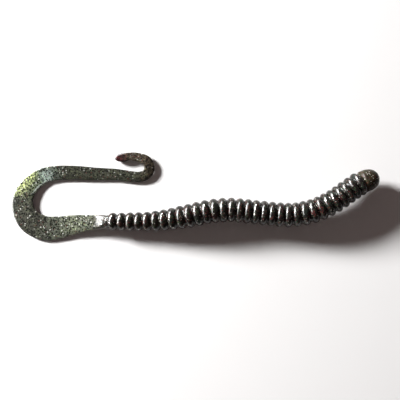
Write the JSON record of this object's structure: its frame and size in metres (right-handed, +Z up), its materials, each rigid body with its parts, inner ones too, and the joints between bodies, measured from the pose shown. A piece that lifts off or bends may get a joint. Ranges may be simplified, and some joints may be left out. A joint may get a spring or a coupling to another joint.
{
  "type": "soft plastic fishing worm",
  "caption": "Ringed soft plastic fishing worm with a smooth blunt head and a long flat ribbon tail that doubles back in a U to a curled tip",
  "frame": {"origin": "centre of the bounding box in plan, on the table it lies on", "axes": "+X along the worm toward the head, +Y toward the folded back tail, +Z up"},
  "size_m": [0.1659, 0.0404, 0.014],
  "materials": {
    "head_plastic": "smooth glossy dark brown olive plastisol with fine pale flakes",
    "body_plastic": "glossy near black plastisol with green, red and silver flakes",
    "tail_plastic": "translucent olive green plastisol packed with black pepper flakes",
    "tip_plastic": "glossy maroon plastisol"
  },
  "bodies": {
    "head": {"head": "head_plastic"},
    "ring_01": {"ring_01": "body_plastic"},
    "ring_02": {"ring_02": "body_plastic"},
    "ring_03": {"ring_03": "body_plastic"},
    "ring_04": {"ring_04": "body_plastic"},
    "ring_05": {"ring_05": "body_plastic"},
    "ring_06": {"ring_06": "body_plastic"},
    "ring_07": {"ring_07": "body_plastic"},
    "ring_08": {"ring_08": "body_plastic"},
    "ring_09": {"ring_09": "body_plastic"},
    "ring_10": {"ring_10": "body_plastic"},
    "ring_11": {"ring_11": "body_plastic"},
    "ring_12": {"ring_12": "body_plastic"},
    "ring_13": {"ring_13": "body_plastic"},
    "ring_14": {"ring_14": "body_plastic"},
    "ring_15": {"ring_15": "body_plastic"},
    "ring_16": {"ring_16": "body_plastic"},
    "ring_17": {"ring_17": "body_plastic"},
    "ring_18": {"ring_18": "body_plastic"},
    "ring_19": {"ring_19": "body_plastic"},
    "ring_20": {"ring_20": "body_plastic"},
    "ring_21": {"ring_21": "body_plastic"},
    "ring_22": {"ring_22": "body_plastic"},
    "ring_23": {"ring_23": "body_plastic"},
    "ring_24": {"ring_24": "body_plastic"},
    "ring_25": {"ring_25": "body_plastic"},
    "ring_26": {"ring_26": "body_plastic"},
    "ring_27": {"ring_27": "body_plastic"},
    "ring_28": {"ring_28": "body_plastic"},
    "ring_29": {"ring_29": "body_plastic"},
    "ring_30": {"ring_30": "body_plastic"},
    "ring_31": {"ring_31": "body_plastic"},
    "ring_32": {"ring_32": "body_plastic"},
    "tail_root": {"tail_root": "tail_plastic"},
    "ribbon_01": {"ribbon_01": "tail_plastic"},
    "ribbon_02": {"ribbon_02": "tail_plastic"},
    "ribbon_03": {"ribbon_03": "tail_plastic"},
    "ribbon_04": {"ribbon_04": "tail_plastic"},
    "ribbon_05": {"ribbon_05": "tail_plastic"},
    "ribbon_06": {"ribbon_06": "tail_plastic"},
    "ribbon_07": {"ribbon_07": "tail_plastic"},
    "ribbon_08": {"ribbon_08": "tail_plastic"},
    "ribbon_09": {"ribbon_09": "tail_plastic"},
    "ribbon_10": {"ribbon_10": "tail_plastic"},
    "ribbon_11": {"ribbon_11": "tail_plastic"},
    "ribbon_12": {"ribbon_12": "tail_plastic"},
    "ribbon_13": {"ribbon_13": "tail_plastic"},
    "ribbon_14": {"ribbon_14": "tail_plastic"},
    "ribbon_15": {"ribbon_15": "tail_plastic"},
    "ribbon_16": {"ribbon_16": "tail_plastic"},
    "ribbon_17": {"ribbon_17": "tail_plastic"},
    "ribbon_18": {"ribbon_18": "tail_plastic"},
    "ribbon_19": {"ribbon_19": "tail_plastic"},
    "ribbon_20": {"ribbon_20": "tail_plastic"},
    "tail_tip": {"tail_tip": "tip_plastic"}
  },
  "joints": [
    {"name": "front_side_bend", "type": "hinge", "parent": "head", "child": "ring_32", "pos_m": [0.07463, 0.00605, 0.00763], "axis": [0.1054, 0.0472, 0.9933], "range_deg": [-8, 8], "stiffness_Nm_per_rad": 0.0056},
    {"name": "front_lift_bend", "type": "hinge", "parent": "ring_32", "child": "ring_31", "pos_m": [0.07186, 0.00445, 0.008], "axis": [-0.5305, 0.8477, 0], "range_deg": [-8, 8], "stiffness_Nm_per_rad": 0.00571},
    {"name": "front_side_bend_30", "type": "hinge", "parent": "ring_31", "child": "ring_30", "pos_m": [0.06918, 0.00264, 0.00829], "axis": [0.0557, 0.039, 0.9977], "range_deg": [-8, 8], "stiffness_Nm_per_rad": 0.00582},
    {"name": "front_lift_bend_29", "type": "hinge", "parent": "ring_30", "child": "ring_29", "pos_m": [0.06654, 0.00072, 0.00844], "axis": [-0.5862, 0.8101, 0], "range_deg": [-8, 8], "stiffness_Nm_per_rad": 0.00594},
    {"name": "front_side_bend_28", "type": "hinge", "parent": "ring_29", "child": "ring_28", "pos_m": [0.06388, -0.0012, 0.0085], "axis": [0.0024, 0.0016, 1], "range_deg": [-8, 8], "stiffness_Nm_per_rad": 0.00606},
    {"name": "front_lift_bend_27", "type": "hinge", "parent": "ring_28", "child": "ring_27", "pos_m": [0.06107, -0.00291, 0.00846], "axis": [-0.4946, 0.8691, 0], "range_deg": [-8, 8], "stiffness_Nm_per_rad": 0.00612},
    {"name": "front_side_bend_26", "type": "hinge", "parent": "ring_27", "child": "ring_26", "pos_m": [0.05806, -0.00451, 0.0083], "axis": [-0.0485, -0.0235, 0.9985], "range_deg": [-8, 8], "stiffness_Nm_per_rad": 0.00612},
    {"name": "front_lift_bend_25", "type": "hinge", "parent": "ring_26", "child": "ring_25", "pos_m": [0.05484, -0.00593, 0.00809], "axis": [-0.3584, 0.9336, 0], "range_deg": [-8, 8], "stiffness_Nm_per_rad": 0.00612},
    {"name": "front_side_bend_24", "type": "hinge", "parent": "ring_25", "child": "ring_24", "pos_m": [0.05139, -0.00707, 0.00782], "axis": [-0.0743, -0.0208, 0.997], "range_deg": [-8, 8], "stiffness_Nm_per_rad": 0.00612},
    {"name": "front_lift_bend_23", "type": "hinge", "parent": "ring_24", "child": "ring_23", "pos_m": [0.04775, -0.00791, 0.00752], "axis": [-0.1705, 0.9854, 0], "range_deg": [-8, 8], "stiffness_Nm_per_rad": 0.00612},
    {"name": "front_side_bend_22", "type": "hinge", "parent": "ring_23", "child": "ring_22", "pos_m": [0.04406, -0.00834, 0.00719], "axis": [-0.0721, -0.004, 0.9974], "range_deg": [-8, 8], "stiffness_Nm_per_rad": 0.00612},
    {"name": "front_lift_bend_21", "type": "hinge", "parent": "ring_22", "child": "ring_21", "pos_m": [0.04035, -0.00833, 0.00698], "axis": [0.0411, 0.9992, 0], "range_deg": [-8, 8], "stiffness_Nm_per_rad": 0.00612},
    {"name": "front_side_bend_20", "type": "hinge", "parent": "ring_21", "child": "ring_20", "pos_m": [0.03666, -0.00803, 0.00695], "axis": [0.0029, -0.0003, 1], "range_deg": [-8, 8], "stiffness_Nm_per_rad": 0.00612},
    {"name": "front_lift_bend_19", "type": "hinge", "parent": "ring_20", "child": "ring_19", "pos_m": [0.033, -0.00764, 0.007], "axis": [0.1084, 0.9941, 0], "range_deg": [-8, 8], "stiffness_Nm_per_rad": 0.00612},
    {"name": "front_side_bend_18", "type": "hinge", "parent": "ring_19", "child": "ring_18", "pos_m": [0.02936, -0.00724, 0.00712], "axis": [0.0371, -0.0042, 0.9993], "range_deg": [-8, 8], "stiffness_Nm_per_rad": 0.00612},
    {"name": "front_lift_bend_17", "type": "hinge", "parent": "ring_18", "child": "ring_17", "pos_m": [0.02573, -0.00682, 0.00727], "axis": [0.1117, 0.9937, 0], "range_deg": [-8, 8], "stiffness_Nm_per_rad": 0.00612},
    {"name": "rear_side_bend", "type": "hinge", "parent": "ring_17", "child": "ring_16", "pos_m": [0.02212, -0.00642, 0.00741], "axis": [0.0352, -0.0037, 0.9994], "range_deg": [-5, 10], "stiffness_Nm_per_rad": 0.00612},
    {"name": "rear_lift_bend", "type": "hinge", "parent": "ring_16", "child": "ring_15", "pos_m": [0.01852, -0.00606, 0.00753], "axis": [0.0635, 0.998, 0], "range_deg": [-8, 8], "stiffness_Nm_per_rad": 0.00612},
    {"name": "rear_side_bend_14", "type": "hinge", "parent": "ring_15", "child": "ring_14", "pos_m": [0.01487, -0.00596, 0.00763], "axis": [0.0262, 0.0005, 0.9997], "range_deg": [-5, 10], "stiffness_Nm_per_rad": 0.00612},
    {"name": "rear_lift_bend_13", "type": "hinge", "parent": "ring_14", "child": "ring_13", "pos_m": [0.01118, -0.00619, 0.00772], "axis": [-0.0944, 0.9955, 0], "range_deg": [-8, 8], "stiffness_Nm_per_rad": 0.00612},
    {"name": "rear_side_bend_12", "type": "hinge", "parent": "ring_13", "child": "ring_12", "pos_m": [0.00747, -0.00666, 0.0077], "axis": [-0.0321, -0.0052, 0.9995], "range_deg": [-5, 10], "stiffness_Nm_per_rad": 0.00612},
    {"name": "rear_lift_bend_11", "type": "hinge", "parent": "ring_12", "child": "ring_11", "pos_m": [0.00376, -0.00738, 0.00748], "axis": [-0.2069, 0.9784, 0], "range_deg": [-8, 8], "stiffness_Nm_per_rad": 0.00601},
    {"name": "rear_side_bend_10", "type": "hinge", "parent": "ring_11", "child": "ring_10", "pos_m": [0.00005, -0.00823, 0.00715], "axis": [-0.093, -0.0202, 0.9955], "range_deg": [-5, 10], "stiffness_Nm_per_rad": 0.0058},
    {"name": "rear_lift_bend_09", "type": "hinge", "parent": "ring_10", "child": "ring_09", "pos_m": [-0.00371, -0.00901, 0.00675], "axis": [-0.1982, 0.9802, 0], "range_deg": [-8, 8], "stiffness_Nm_per_rad": 0.00521},
    {"name": "rear_side_bend_08", "type": "hinge", "parent": "ring_09", "child": "ring_08", "pos_m": [-0.00747, -0.00975, 0.00627], "axis": [-0.1198, -0.0215, 0.9926], "range_deg": [-5, 10], "stiffness_Nm_per_rad": 0.00433},
    {"name": "rear_lift_bend_07", "type": "hinge", "parent": "ring_08", "child": "ring_07", "pos_m": [-0.01127, -0.01037, 0.00581], "axis": [-0.1426, 0.9898, 0], "range_deg": [-8, 8], "stiffness_Nm_per_rad": 0.0035},
    {"name": "rear_side_bend_06", "type": "hinge", "parent": "ring_07", "child": "ring_06", "pos_m": [-0.0151, -0.01085, 0.00537], "axis": [-0.1049, -0.0112, 0.9944], "range_deg": [-5, 10], "stiffness_Nm_per_rad": 0.00273},
    {"name": "rear_lift_bend_05", "type": "hinge", "parent": "ring_06", "child": "ring_05", "pos_m": [-0.01895, -0.01119, 0.00499], "axis": [-0.0633, 0.998, 0], "range_deg": [-8, 8], "stiffness_Nm_per_rad": 0.00215},
    {"name": "rear_side_bend_04", "type": "hinge", "parent": "ring_05", "child": "ring_04", "pos_m": [-0.02283, -0.01134, 0.00468], "axis": [-0.0714, -0.0016, 0.9974], "range_deg": [-5, 10], "stiffness_Nm_per_rad": 0.0017},
    {"name": "rear_lift_bend_03", "type": "hinge", "parent": "ring_04", "child": "ring_03", "pos_m": [-0.02672, -0.01136, 0.00443], "axis": [-0.0008, 1, 0], "range_deg": [-8, 8], "stiffness_Nm_per_rad": 0.0015},
    {"name": "rear_side_bend_02", "type": "hinge", "parent": "ring_03", "child": "ring_02", "pos_m": [-0.03062, -0.01135, 0.00422], "axis": [-0.0454, 0, 0.999], "range_deg": [-5, 10], "stiffness_Nm_per_rad": 0.0015},
    {"name": "rear_lift_bend_01", "type": "hinge", "parent": "ring_02", "child": "ring_01", "pos_m": [-0.03453, -0.01136, 0.00408], "axis": [-0.0001, 1, 0], "range_deg": [-8, 8], "stiffness_Nm_per_rad": 0.0015},
    {"name": "rear_side_bend_00", "type": "hinge", "parent": "ring_01", "child": "tail_root", "pos_m": [-0.03845, -0.01135, 0.004], "axis": [-0.0192, 0, 0.9998], "range_deg": [-5, 10], "stiffness_Nm_per_rad": 0.0015},
    {"name": "tail_flutter", "type": "hinge", "parent": "tail_root", "child": "ribbon_01", "pos_m": [-0.0449, -0.01163, 0.00324], "axis": [-0.0365, 0.9993, 0], "range_deg": [-10, 10], "stiffness_Nm_per_rad": 0.00015},
    {"name": "tail_flutter_01", "type": "hinge", "parent": "ribbon_01", "child": "ribbon_02", "pos_m": [-0.0508, -0.01219, 0.0022], "axis": [-0.135, 0.9908, 0], "range_deg": [-10, 10], "stiffness_Nm_per_rad": 0.00015},
    {"name": "tail_flutter_02", "type": "hinge", "parent": "ribbon_02", "child": "ribbon_03", "pos_m": [-0.05666, -0.01319, 0.00128], "axis": [-0.1967, 0.9805, 0], "range_deg": [-10, 10], "stiffness_Nm_per_rad": 0.00015},
    {"name": "tail_flutter_03", "type": "hinge", "parent": "ribbon_03", "child": "ribbon_04", "pos_m": [-0.06255, -0.0143, 0.00082], "axis": [-0.1375, 0.9905, -0.0002], "range_deg": [-10, 10], "stiffness_Nm_per_rad": 0.00015},
    {"name": "tail_unfurl", "type": "hinge", "parent": "ribbon_04", "child": "ribbon_05", "pos_m": [-0.06853, -0.01444, 0.0008], "axis": [0.0017, -0.0013, 1], "range_deg": [-1.5, 24], "stiffness_Nm_per_rad": 0.0012},
    {"name": "tail_unfurl_05", "type": "hinge", "parent": "ribbon_05", "child": "ribbon_06", "pos_m": [-0.07403, -0.01209, 0.00085], "axis": [0.0007, -0.0227, 0.9997], "range_deg": [-1.5, 24], "stiffness_Nm_per_rad": 0.0012},
    {"name": "tail_unfurl_06", "type": "hinge", "parent": "ribbon_06", "child": "ribbon_07", "pos_m": [-0.07752, -0.00729, 0.00096], "axis": [-0.0477, -0.0318, 0.9984], "range_deg": [-1.5, 24], "stiffness_Nm_per_rad": 0.0012},
    {"name": "tail_flutter_07", "type": "hinge", "parent": "ribbon_07", "child": "ribbon_08", "pos_m": [-0.07813, -0.00136, 0.00101], "axis": [0.986, -0.1506, 0.0717], "range_deg": [-10, 10], "stiffness_Nm_per_rad": 0.00015},
    {"name": "tail_unfurl_08", "type": "hinge", "parent": "ribbon_08", "child": "ribbon_09", "pos_m": [-0.07575, 0.00411, 0.00095], "axis": [-0.0375, 0.0536, 0.9979], "range_deg": [-1.5, 24], "stiffness_Nm_per_rad": 0.0012},
    {"name": "tail_unfurl_09", "type": "hinge", "parent": "ribbon_09", "child": "ribbon_10", "pos_m": [-0.07134, 0.00815, 0.00083], "axis": [-0.0012, 0.0337, 0.9994], "range_deg": [-1.5, 24], "stiffness_Nm_per_rad": 0.0012},
    {"name": "tail_unfurl_10", "type": "hinge", "parent": "ribbon_10", "child": "ribbon_11", "pos_m": [-0.06576, 0.0103, 0.00076], "axis": [0.0055, 0.0061, 1], "range_deg": [-1.5, 24], "stiffness_Nm_per_rad": 0.0012},
    {"name": "tail_flutter_11", "type": "hinge", "parent": "ribbon_11", "child": "ribbon_12", "pos_m": [-0.05978, 0.01093, 0.00075], "axis": [0.0128, -0.9999, -0.0013], "range_deg": [-10, 10], "stiffness_Nm_per_rad": 0.00015},
    {"name": "tail_flutter_12", "type": "hinge", "parent": "ribbon_12", "child": "ribbon_13", "pos_m": [-0.05376, 0.01083, 0.00075], "axis": [-0.0342, -0.9994, 0], "range_deg": [-10, 10], "stiffness_Nm_per_rad": 0.00015},
    {"name": "tail_flutter_13", "type": "hinge", "parent": "ribbon_13", "child": "ribbon_14", "pos_m": [-0.04775, 0.01048, 0.00075], "axis": [-0.0626, -0.998, 0], "range_deg": [-10, 10], "stiffness_Nm_per_rad": 0.00015},
    {"name": "tail_flutter_14", "type": "hinge", "parent": "ribbon_14", "child": "ribbon_15", "pos_m": [-0.04174, 0.01025, 0.00074], "axis": [-0.0196, -0.9998, 0.0024], "range_deg": [-10, 10], "stiffness_Nm_per_rad": 0.00015},
    {"name": "tail_flutter_15", "type": "hinge", "parent": "ribbon_15", "child": "ribbon_16", "pos_m": [-0.03572, 0.01003, 0.00075], "axis": [-0.0787, -0.9969, -0.0008], "range_deg": [-10, 10], "stiffness_Nm_per_rad": 0.00015},
    {"name": "tip_uncurl", "type": "hinge", "parent": "ribbon_16", "child": "ribbon_17", "pos_m": [-0.02976, 0.00924, 0.00087], "axis": [0.0383, 0.0386, -0.9985], "range_deg": [-5, 24], "stiffness_Nm_per_rad": 0.0003},
    {"name": "tip_uncurl_17", "type": "hinge", "parent": "ribbon_17", "child": "ribbon_18", "pos_m": [-0.02379, 0.0092, 0.00125], "axis": [0.0378, 0.1677, -0.9851], "range_deg": [-5, 24], "stiffness_Nm_per_rad": 0.0003},
    {"name": "tip_uncurl_18", "type": "hinge", "parent": "ribbon_18", "child": "ribbon_19", "pos_m": [-0.02023, 0.01338, 0.00169], "axis": [-0.2605, 0.0287, -0.965], "range_deg": [-5, 24], "stiffness_Nm_per_rad": 0.0003},
    {"name": "tail_flutter_19", "type": "hinge", "parent": "ribbon_19", "child": "ribbon_20", "pos_m": [-0.02407, 0.01745, 0.00178], "axis": [0.2938, 0.9299, -0.2211], "range_deg": [-10, 10], "stiffness_Nm_per_rad": 0.00015},
    {"name": "tip_uncurl_20", "type": "hinge", "parent": "ribbon_20", "child": "tail_tip", "pos_m": [-0.02999, 0.01813, 0.00166], "axis": [0.0454, -0.1325, -0.9901], "range_deg": [-5, 24], "stiffness_Nm_per_rad": 0.0003}
  ],
  "couplings": [
    {"joint": "front_side_bend_30", "follows": "front_side_bend", "ratio": 1},
    {"joint": "front_lift_bend_29", "follows": "front_lift_bend", "ratio": 1},
    {"joint": "front_side_bend_28", "follows": "front_side_bend", "ratio": 1},
    {"joint": "front_lift_bend_27", "follows": "front_lift_bend", "ratio": 1},
    {"joint": "front_side_bend_26", "follows": "front_side_bend", "ratio": 1},
    {"joint": "front_lift_bend_25", "follows": "front_lift_bend", "ratio": 1},
    {"joint": "front_side_bend_24", "follows": "front_side_bend", "ratio": 1},
    {"joint": "front_lift_bend_23", "follows": "front_lift_bend", "ratio": 1},
    {"joint": "front_side_bend_22", "follows": "front_side_bend", "ratio": 1},
    {"joint": "front_lift_bend_21", "follows": "front_lift_bend", "ratio": 1},
    {"joint": "front_side_bend_20", "follows": "front_side_bend", "ratio": 1},
    {"joint": "front_lift_bend_19", "follows": "front_lift_bend", "ratio": 1},
    {"joint": "front_side_bend_18", "follows": "front_side_bend", "ratio": 1},
    {"joint": "front_lift_bend_17", "follows": "front_lift_bend", "ratio": 1},
    {"joint": "rear_side_bend_14", "follows": "rear_side_bend", "ratio": 1},
    {"joint": "rear_lift_bend_13", "follows": "rear_lift_bend", "ratio": 1},
    {"joint": "rear_side_bend_12", "follows": "rear_side_bend", "ratio": 1},
    {"joint": "rear_lift_bend_11", "follows": "rear_lift_bend", "ratio": 1},
    {"joint": "rear_side_bend_10", "follows": "rear_side_bend", "ratio": 1},
    {"joint": "rear_lift_bend_09", "follows": "rear_lift_bend", "ratio": 1},
    {"joint": "rear_side_bend_08", "follows": "rear_side_bend", "ratio": 1},
    {"joint": "rear_lift_bend_07", "follows": "rear_lift_bend", "ratio": 1},
    {"joint": "rear_side_bend_06", "follows": "rear_side_bend", "ratio": 1},
    {"joint": "rear_lift_bend_05", "follows": "rear_lift_bend", "ratio": 1},
    {"joint": "rear_side_bend_04", "follows": "rear_side_bend", "ratio": 1},
    {"joint": "rear_lift_bend_03", "follows": "rear_lift_bend", "ratio": 1},
    {"joint": "rear_side_bend_02", "follows": "rear_side_bend", "ratio": 1},
    {"joint": "rear_lift_bend_01", "follows": "rear_lift_bend", "ratio": 1},
    {"joint": "rear_side_bend_00", "follows": "rear_side_bend", "ratio": 1},
    {"joint": "tail_flutter_01", "follows": "tail_flutter", "ratio": 1},
    {"joint": "tail_flutter_02", "follows": "tail_flutter", "ratio": -1},
    {"joint": "tail_flutter_03", "follows": "tail_flutter", "ratio": -1},
    {"joint": "tail_unfurl_05", "follows": "tail_unfurl", "ratio": 1},
    {"joint": "tail_unfurl_06", "follows": "tail_unfurl", "ratio": 1},
    {"joint": "tail_flutter_07", "follows": "tail_flutter", "ratio": -1},
    {"joint": "tail_unfurl_08", "follows": "tail_unfurl", "ratio": 1},
    {"joint": "tail_unfurl_09", "follows": "tail_unfurl", "ratio": 1},
    {"joint": "tail_unfurl_10", "follows": "tail_unfurl", "ratio": 1},
    {"joint": "tail_flutter_11", "follows": "tail_flutter", "ratio": 1},
    {"joint": "tail_flutter_12", "follows": "tail_flutter", "ratio": 1},
    {"joint": "tail_flutter_13", "follows": "tail_flutter", "ratio": 1},
    {"joint": "tail_flutter_14", "follows": "tail_flutter", "ratio": -1},
    {"joint": "tail_flutter_15", "follows": "tail_flutter", "ratio": -1},
    {"joint": "tip_uncurl_17", "follows": "tip_uncurl", "ratio": 1},
    {"joint": "tip_uncurl_18", "follows": "tip_uncurl", "ratio": 1},
    {"joint": "tail_flutter_19", "follows": "tail_flutter", "ratio": -1},
    {"joint": "tip_uncurl_20", "follows": "tip_uncurl", "ratio": 1}
  ]
}
